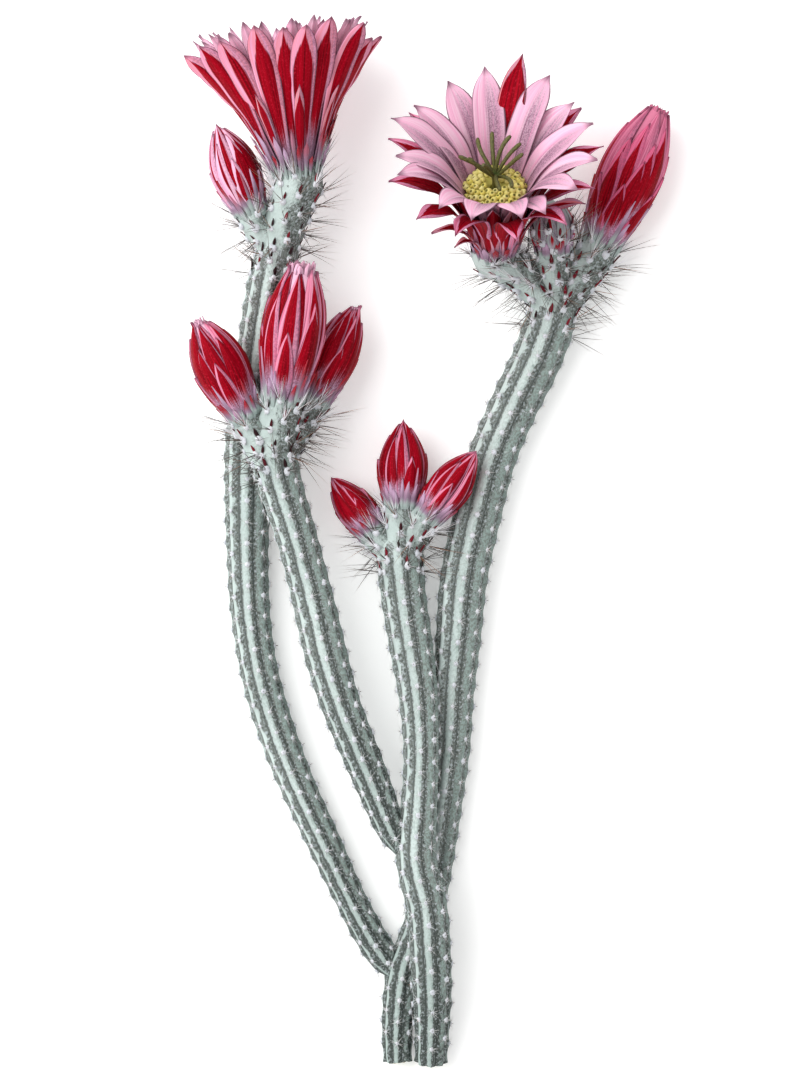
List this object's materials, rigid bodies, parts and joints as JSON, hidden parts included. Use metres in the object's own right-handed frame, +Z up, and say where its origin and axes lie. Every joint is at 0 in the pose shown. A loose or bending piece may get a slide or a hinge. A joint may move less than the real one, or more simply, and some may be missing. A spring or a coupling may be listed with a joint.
{
  "type": "hedgehog cactus",
  "caption": "Slender ribbed hedgehog cactus, cut at the base and laid flat: branched stems with spiny floral tubes, pink and crimson blooms and folded buds.",
  "frame": {"origin": "on the surface that the plant lies on, below the middle of its box", "axes": "+Z up from the surface; +Y along the stems, from their cut ends towards the flowers; +X across them, towards the open bloom"},
  "size_m": [0.1433, 0.313, 0.0704],
  "materials": {
    "stem": "matte",
    "outer_tepal": "satin",
    "inner_tepal": "satin",
    "stamen": "matte",
    "style": "satin"
  },
  "bodies": {
    "root": {"stem_back": "stem", "stem_front": "stem", "tall_bloom_outer_tepals": "outer_tepal", "tall_bloom_inner_tepals": "inner_tepal", "tall_bloom_stamens": "stamen", "tall_bloom_style": "style", "open_bloom_outer_tepals": "outer_tepal", "open_bloom_inner_tepals": "inner_tepal", "open_bloom_stamens": "stamen", "open_bloom_style": "style", "tall_side_bud": "outer_tepal", "right_bud": "outer_tepal", "right_young_bud": "outer_tepal", "left_bud_left": "outer_tepal", "left_bud_centre": "outer_tepal", "left_bud_right": "outer_tepal", "centre_bud_left": "outer_tepal", "centre_bud_centre": "outer_tepal", "centre_bud_right": "outer_tepal"}
  },
  "joints": []
}
